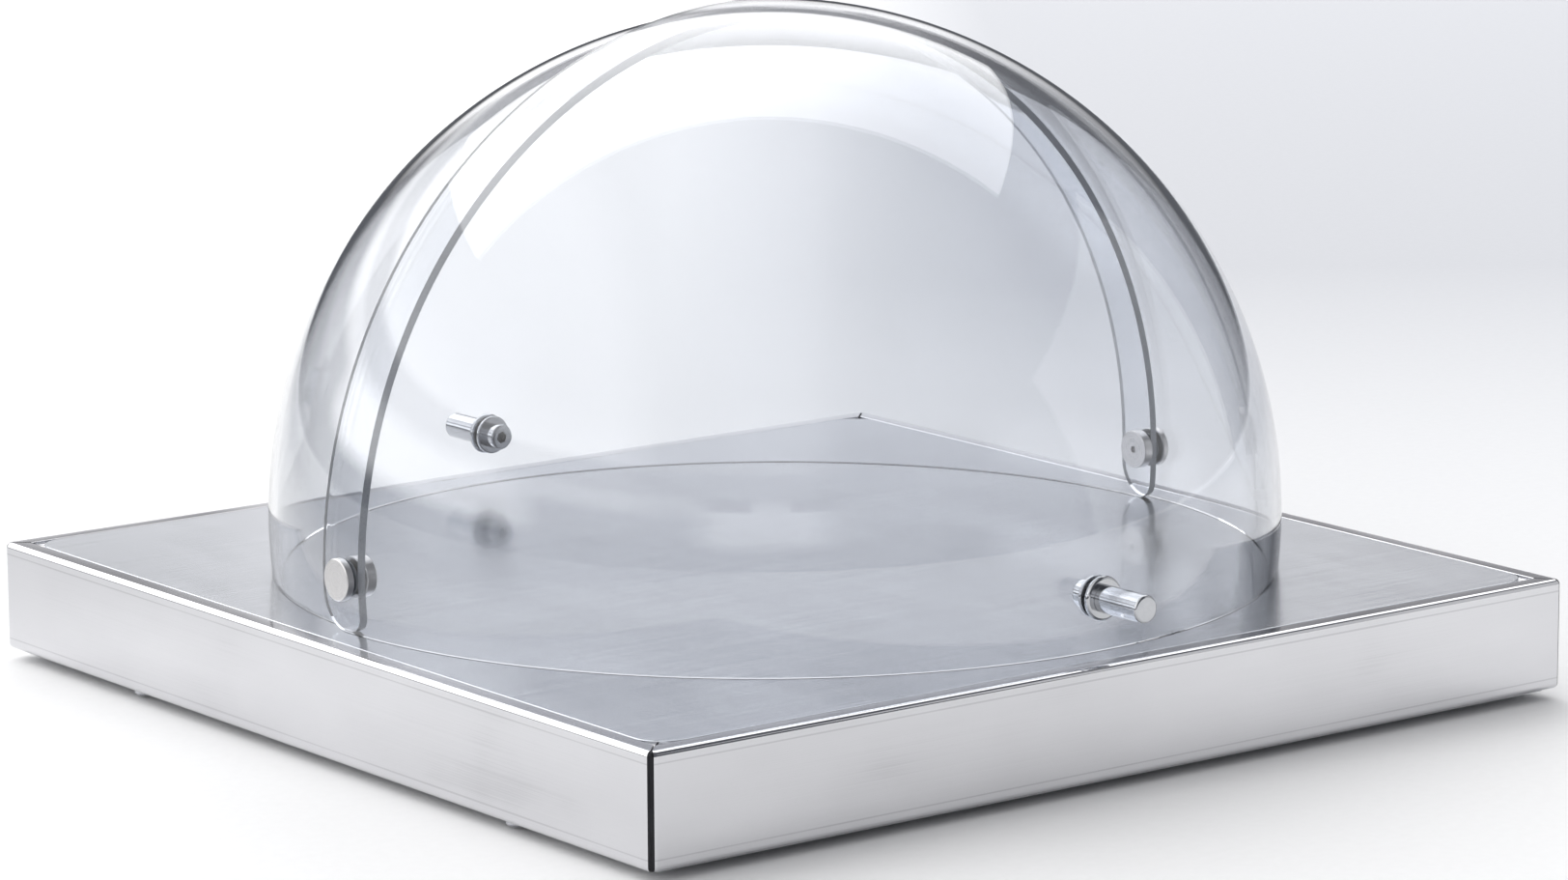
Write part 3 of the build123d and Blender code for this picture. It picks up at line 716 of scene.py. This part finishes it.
def matt_acrylic(name, dark, light, through):
    """A trimmed edge, matt from the saw or from sanding: only a share of the light goes through."""
    made, tree, surface = new_finish(name, IOR=1.49, Transmission_Weight=through)
    strokes = grain(tree, (1800.0, 1800.0, 1800.0), 3.0)
    colour = shades(tree, strokes, (0.3, dark), (0.7, light))
    lay(tree, surface, colour, spread(tree, strokes, 0.22, 0.40))
    relief(tree, surface, strokes, 0.02 * mm)
    return made


acrylic = clear_acrylic()
pale_edge = matt_acrylic("sanded_front_edge", (0.84, 0.86, 0.89), (0.92, 0.94, 0.96), 0.35)
grey_edge = matt_acrylic("sawn_rear_edge", (0.60, 0.63, 0.68), (0.70, 0.73, 0.78), 0.08)
for word, tail, hole, facing_turn, edge in (("front", front_tail, front_pivot_hole, 180, pale_edge),
                                            ("rear", rear_tail, rear_pivot_hole, 0, grey_edge)):
    shell_low, shell_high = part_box(f"{word}_hood")
    shell_radius = -shell_low.y if word == "front" else shell_high.y
    shell = grown(
        f"{word}_hood_shell", shell_tree, acrylic, edge,
        Radius=round(shell_radius, 4), Wall=hood_wall, Tail=tail, Lower_Edge=hood_foot, Pivot_Height=pivot_height,
        Pivot_Hole=hole, Knob_Hole=knob_hole, Turn=radians(facing_turn),
    )
    settle(shell, f"{word}_hood", "hood_clear", f"{word}_hood")

# Pivots: at each side a satin steel cap with a stud goes in from outside, through a stepped black bush that both
# shells turn on and a grey washer that keeps them apart, into a round steel nut inside.
pivot_cap_thickness = 3.0 * mm
pivot_stud = 5.0 * mm
bush_neck = 7.0 * mm
pivot_socket = 2.5 * mm
nut_floor = 1.5 * mm
clearance = 0.1 * mm
pivot_bore = pivot_stud / 2 + clearance


def faced_steel(name, across_axis, dark, light, rough_low, rough_high, depth):
    """Turned steel: fine rings round an axis at the pivots' height. across_axis is 0 along the axis and 1 across."""
    made, tree, surface = new_finish(name, Metallic=1.0)
    place = grow(tree, "ShaderNodeTexCoord")
    centred = combined(tree, "SUBTRACT", place.outputs["Object"], (0.0, 0.0, pivot_height))
    out = combined(tree, "LENGTH", combined(tree, "MULTIPLY", centred, across_axis))
    ring = grow(tree, "ShaderNodeTexNoise", {"W": out.outputs["Value"], "Scale": 4200.0, "Detail": 3.0},
                noise_dimensions="1D")
    clouds = grain(tree, (300.0, 300.0, 300.0), 3.0)
    mixed = worked(tree, "MULTIPLY_ADD", clouds, 0.5, ring)
    colour = shades(tree, mixed, (0.5, dark), (1.0, light))
    lay(tree, surface, colour, spread(tree, mixed, rough_low, rough_high, 0.5, 1.0))
    relief(tree, surface, ring, depth)
    return made


pivot_steel = faced_steel("satin_pivot_steel", (0.0, 1.0, 1.0), (0.60, 0.59, 0.59), (0.72, 0.71, 0.71), 0.24, 0.38,
                          0.012 * mm)
bush_plastic = moulded("black_bush_plastic", (0.020, 0.020, 0.022), (0.035, 0.035, 0.038), 1500.0, 0.30, 0.45,
                       0.01 * mm)
washer_plastic = moulded("grey_washer_plastic", (0.34, 0.36, 0.39), (0.42, 0.44, 0.47), 1500.0, 0.35, 0.50,
                         0.01 * mm)


def span(node, axis):
    """Nearest and farthest reach of a node from the middle along one axis, and its radius."""
    low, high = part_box(node)
    ends = sorted((abs(low[axis]), abs(high[axis])))
    return ends[0], ends[1], (high.z - low.z) / 2


for side, out in (("left", (-1, 0, 0)), ("right", (1, 0, 0))):
    start = (0, 0, pivot_height)
    stud_tip, cap_face, cap_radius = span(f"{side}_pivot_cap", 0)
    cap_seat = cap_face - pivot_cap_thickness
    cap = turned(
        f"{side}_turned_pivot_cap",
        [(stud_tip, 0, 0), (stud_tip, pivot_stud / 2, 0.4 * mm), (cap_seat, pivot_stud / 2, 0),
         (cap_seat, cap_radius, 0.5 * mm), (cap_face, cap_radius, 0.6 * mm), (cap_face, 0, 0)],
        start, out, pivot_steel,
    )
    settle(cap, "hood_pivots", "pivot_steel", f"{side}_pivot_cap")

    bush_inner, bush_outer, bush_radius = span(f"{side}_pivot_bush", 0)
    washer_inner, washer_outer, washer_radius = span(f"{side}_pivot_washer", 0)
    bush = turned(
        f"{side}_stepped_bush",
        [(bush_inner, pivot_bore, 0), (bush_inner, bush_neck / 2, 0.2 * mm), (washer_inner, bush_neck / 2, 0),
         (washer_inner, bush_radius, 0.2 * mm), (bush_outer, bush_radius, 0.2 * mm), (bush_outer, pivot_bore, 0)],
        start, out, bush_plastic, ring_round=True,
    )
    settle(bush, "hood_pivots", "bush_plastic", f"{side}_pivot_bush")

    washer_bore = bush_radius + clearance
    washer = turned(
        f"{side}_spacing_washer",
        [(washer_inner, washer_bore, 0.1 * mm), (washer_inner, washer_radius, 0.15 * mm),
         (washer_outer, washer_radius, 0.15 * mm), (washer_outer, washer_bore, 0.1 * mm)],
        start, out, washer_plastic, ring_round=True,
    )
    settle(washer, "hood_pivots", "washer_plastic", f"{side}_pivot_washer")

    nut_face, nut_seat, nut_radius = span(f"{side}_pivot_nut", 0)
    nut = turned(
        f"{side}_round_pivot_nut",
        [(nut_face, pivot_socket / 2, 0.2 * mm), (nut_face, nut_radius, 0.5 * mm), (nut_seat, nut_radius, 0.4 * mm),
         (nut_seat, pivot_bore, 0), (nut_face + nut_floor, pivot_bore, 0),
         (nut_face + nut_floor, pivot_socket / 2, 0)],
        start, out, pivot_steel, ring_round=True,
    )
    settle(nut, "hood_pivots", "pivot_steel", f"{side}_pivot_nut")

# Knobs: one on each shell, of polished turned steel. The grip's stud goes through a round-edged rosette, the
# shell and a ring inside it, into a cap nut with a broached hexagon socket, painted dark inside as painted shade.
knob_stud = 3.0 * mm
stud_bore = knob_stud / 2 + clearance
socket_flats = 4.0 * mm
socket_depth = 2.0 * mm
socket_lip = 0.2 * mm

knob_steel = faced_steel("polished_knob_steel", (1.0, 0.0, 1.0), (0.46, 0.47, 0.49), (0.58, 0.59, 0.61), 0.05, 0.11,
                         0.002 * mm)
# painted shade: the socket's inside is coloured nearly black for the shade in the hole
socket_painted_shade = milled_steel("broached_socket_steel", (0.05, 0.05, 0.055), (0.09, 0.09, 0.095), 0.30, 0.45)


def socket_nut(name, inner_end, outer_end, radius, bore_end, out):
    """A cap nut: a hexagon socket in its inner end, blended into the round rings of its outside."""
    start = (0, 0, pivot_height)

    def hexagon(flats):
        return lambda turn: flats / 2 / cos(radians((turn + 30) % 60 - 30))

    rings = [axis_ring(start, out, along, reach_at) for along, reach_at in (
        (inner_end + socket_depth, lambda turn: 0), (inner_end + socket_depth, hexagon(socket_flats)),
        (inner_end + socket_lip, hexagon(socket_flats)), (inner_end, hexagon(socket_flats + 2 * socket_lip)))]
    outside = rounded([(inner_end, socket_flats * 0.7, 0), (inner_end, radius, 0.8 * mm),
                       (outer_end, radius, 0.1 * mm), (outer_end, stud_bore, 0), (bore_end, stud_bore, 0),
                       (bore_end, 0, 0)])
    rings += [axis_ring(start, out, along, lambda turn: reach) for along, reach in outside]
    return loft(name, rings, (knob_steel, socket_painted_shade), finish_of=lambda step: int(step < 2))


for word, out in (("front", (0, -1, 0)), ("rear", (0, 1, 0))):
    start = (0, 0, pivot_height)
    stud_end, grip_end, grip_radius = span(f"{word}_knob_grip", 1)
    rosette_seat, grip_seat, rosette_radius = span(f"{word}_knob_rosette", 1)
    grip = turned(
        f"{word}_turned_knob_grip",
        [(stud_end, 0, 0), (stud_end, knob_stud / 2, 0.3 * mm), (grip_seat, knob_stud / 2, 0),
         (grip_seat, grip_radius, 0.3 * mm), (grip_end, grip_radius, 0.9 * mm), (grip_end, 0, 0)],
        start, out, knob_steel,
    )
    settle(grip, f"{word}_hood", "knob_steel", f"{word}_knob_grip")

    rosette = turned(
        f"{word}_round_rosette",
        [(rosette_seat, stud_bore, 0), (rosette_seat, rosette_radius, 1.1 * mm), (grip_seat, rosette_radius, 1.2 * mm),
         (grip_seat, stud_bore, 0)],
        start, out, knob_steel, ring_round=True,
    )
    settle(rosette, f"{word}_hood", "knob_steel", f"{word}_knob_rosette")

    ring_face, ring_seat, ring_radius = span(f"{word}_knob_ring", 1)
    ring = turned(
        f"{word}_inner_ring",
        [(ring_face, stud_bore, 0), (ring_face, ring_radius, 0.7 * mm), (ring_seat, ring_radius, 0.6 * mm),
         (ring_seat, stud_bore, 0)],
        start, out, knob_steel, ring_round=True,
    )
    settle(ring, f"{word}_hood", "knob_steel", f"{word}_knob_ring")

    nut_end, nut_face, nut_radius = span(f"{word}_knob_nut", 1)
    nut = socket_nut(f"{word}_socket_cap_nut", nut_end, nut_face, nut_radius, stud_end - 0.05 * mm, out)
    settle(nut, f"{word}_hood", "knob_steel", f"{word}_knob_nut")

# Floor and light: a round sheet of white paper that turns pale grey at the back right and far out at the left, a
# large soft box above and behind, a window at the right, and a room that is bright at the left and dark at the
# right, along the horizon and behind a low screen at the back left.
to_right = Vector((0.80, -0.60, 0.0))
to_back = Vector((0.60, 0.80, 0.0))
floor_radius = 2.9
floor_thickness = 0.02
lit_by_room = 2.5


def paper():
    """White paper with fine fibres that turns pale grey at the back right and far out at the left."""
    made, tree, surface = new_finish("white_floor_paper", Roughness=0.7, Specular_IOR_Level=0.1)
    fibre = grain(tree, (250.0, 250.0, 250.0), 3.0)
    white = shades(tree, fibre, (0.3, (0.925, 0.925, 0.925)), (0.7, (0.945, 0.945, 0.945)))
    place = grow(tree, "ShaderNodeTexCoord").outputs["Object"]
    across = combined(tree, "DOT_PRODUCT", place, to_right).outputs["Value"]
    behind = combined(tree, "DOT_PRODUCT", place, to_back).outputs["Value"]
    back_right = worked(tree, "MULTIPLY", spread(tree, across, 0.0, 1.0, -0.05, 0.16),
                        spread(tree, behind, 0.0, 1.0, -0.1, 0.9))
    grey = shades(tree, back_right, (0.0, (1.0, 1.0, 1.0)), (1.0, (0.60, 0.61, 0.64)))
    to_left = worked(tree, "SUBTRACT", worked(tree, "MULTIPLY", behind, -0.125), across)
    at_left = shades(tree, spread(tree, to_left, 0.0, 1.0, 0.33, 0.81),
                     (0.0, (1.0, 1.0, 1.0)), (1.0, (0.45, 0.455, 0.47)))
    colour = combined(tree, "MULTIPLY", combined(tree, "MULTIPLY", white, grey), at_left)
    tree.links.new(colour.outputs[0], surface.inputs["Base Color"])
    return made


floor_rings = [[Vector((floor_radius * cos(radians(5 * i)), floor_radius * sin(radians(5 * i)), height))
                for i in range(72)] for height in (0.0, -floor_thickness)]
floor = loft("floor", floor_rings, (paper(),))

room = bpy.data.worlds.new("room")
bpy.context.scene.world = room
room.use_nodes = True
room_tree = room.node_tree
sight = grow(room_tree, "ShaderNodeTexCoord").outputs["Generated"]
across = combined(room_tree, "DOT_PRODUCT", sight, to_right).outputs["Value"]
rise = grow(room_tree, "ShaderNodeSeparateXYZ", {"Vector": sight}).outputs["Z"]
sideways = shades(
    room_tree, spread(room_tree, across, 0.0, 1.0, -1.0, 1.0),
    (0.00, (1.00, 1.00, 1.00)),
    (0.22, (1.00, 1.00, 1.00)),
    (0.30, (0.58, 0.58, 0.58)),
    (0.50, (0.50, 0.50, 0.51)),
    (0.56, (0.46, 0.46, 0.47)),
    (0.62, (0.20, 0.202, 0.21)),
    (0.72, (0.042, 0.044, 0.050)),
    (1.00, (0.035, 0.037, 0.042)),
)
upwards = shades(
    room_tree, spread(room_tree, rise, 0.0, 1.0, -0.25, 1.0),
    (0.000, (0.20, 0.20, 0.21)),
    (0.180, (0.02, 0.021, 0.024)),
    (0.225, (0.02, 0.021, 0.024)),
    (0.270, (1.00, 1.00, 1.00)),
    (0.350, (1.00, 1.00, 1.00)),
    (0.400, (0.40, 0.40, 0.41)),
    (0.455, (0.40, 0.40, 0.41)),
    (0.480, (0.87, 0.87, 0.87)),
    (0.600, (0.67, 0.67, 0.67)),
    (1.000, (0.67, 0.67, 0.67)),
)
screen = worked(room_tree, "MULTIPLY", spread(room_tree, across, 0.0, 1.0, -0.88, -0.78),
                spread(room_tree, across, 1.0, 0.0, -0.32, -0.20))
screen = worked(room_tree, "MULTIPLY", screen, spread(room_tree, rise, 1.0, 0.0, 0.15, 0.23))
off_middle = worked(room_tree, "ABSOLUTE", across)
gap = worked(room_tree, "MULTIPLY", spread(room_tree, off_middle, 0.0, 1.0, 0.065, 0.085),
             spread(room_tree, off_middle, 0.7, 0.0, 0.22, 0.32))
gap = worked(room_tree, "MULTIPLY", gap, spread(room_tree, rise, 0.0, 1.0, 0.190, 0.198))
gap = worked(room_tree, "MULTIPLY", gap, spread(room_tree, rise, 1.0, 0.0, 0.235, 0.250))
hidden = shades(room_tree, worked(room_tree, "MAXIMUM", screen, gap),
                (0.0, (1.0, 1.0, 1.0)), (1.0, (0.12, 0.12, 0.13)))
room_colour = combined(room_tree, "MULTIPLY", combined(room_tree, "MULTIPLY", sideways, upwards), hidden)
room_colour = combined(room_tree, "MAXIMUM", room_colour, (0.048, 0.050, 0.056))
lit_room = room_tree.nodes["Background"]
lit_room.inputs["Strength"].default_value = lit_by_room
room_tree.links.new(room_colour.outputs[0], lit_room.inputs["Color"])


def soft_box(name, place, towards, width, height, power):
    """A flat lamp at a place, facing another, that lights and mirrors but isn't in the picture itself."""
    lamp = bpy.data.lights.new(name, "AREA")
    lamp.shape = "RECTANGLE"
    lamp.size = width
    lamp.size_y = height
    lamp.energy = power
    stand = bpy.data.objects.new(name, lamp)
    stand.location = place
    stand.rotation_euler = (Vector(place) - Vector(towards)).to_track_quat("Z", "Y").to_euler()
    stand.visible_camera = False
    bpy.context.scene.collection.objects.link(stand)
    return stand


above = to_back * 5.8 - to_right * 0.85
overhead = soft_box("soft_box_above", (*above.xy, 4.06), (*above.xy, 0.0), width=7.9, height=9.2, power=385)
overhead.rotation_euler = (0, 0, radians(-37))
soft_box("window_right", (1.31, -0.88, 0.55), (-0.13, -0.47, 0.1), width=1.63, height=1.1, power=3.2)

# Camera: the viewing angle of the photograph, low and from the front left corner.
lens = bpy.data.cameras.new("camera")
lens.sensor_width = 36
lens.lens = 140.904
lens.shift_x = 0.010975
lens.shift_y = 0.001688
camera = bpy.data.objects.new("camera", lens)
camera.location = (-1.35236, -1.78038, 0.53948)
camera.rotation_euler = (radians(78.625), radians(0.329), radians(-37.261))
bpy.context.scene.collection.objects.link(camera)
bpy.context.scene.camera = camera
bpy.context.scene.view_settings.view_transform = "Standard"
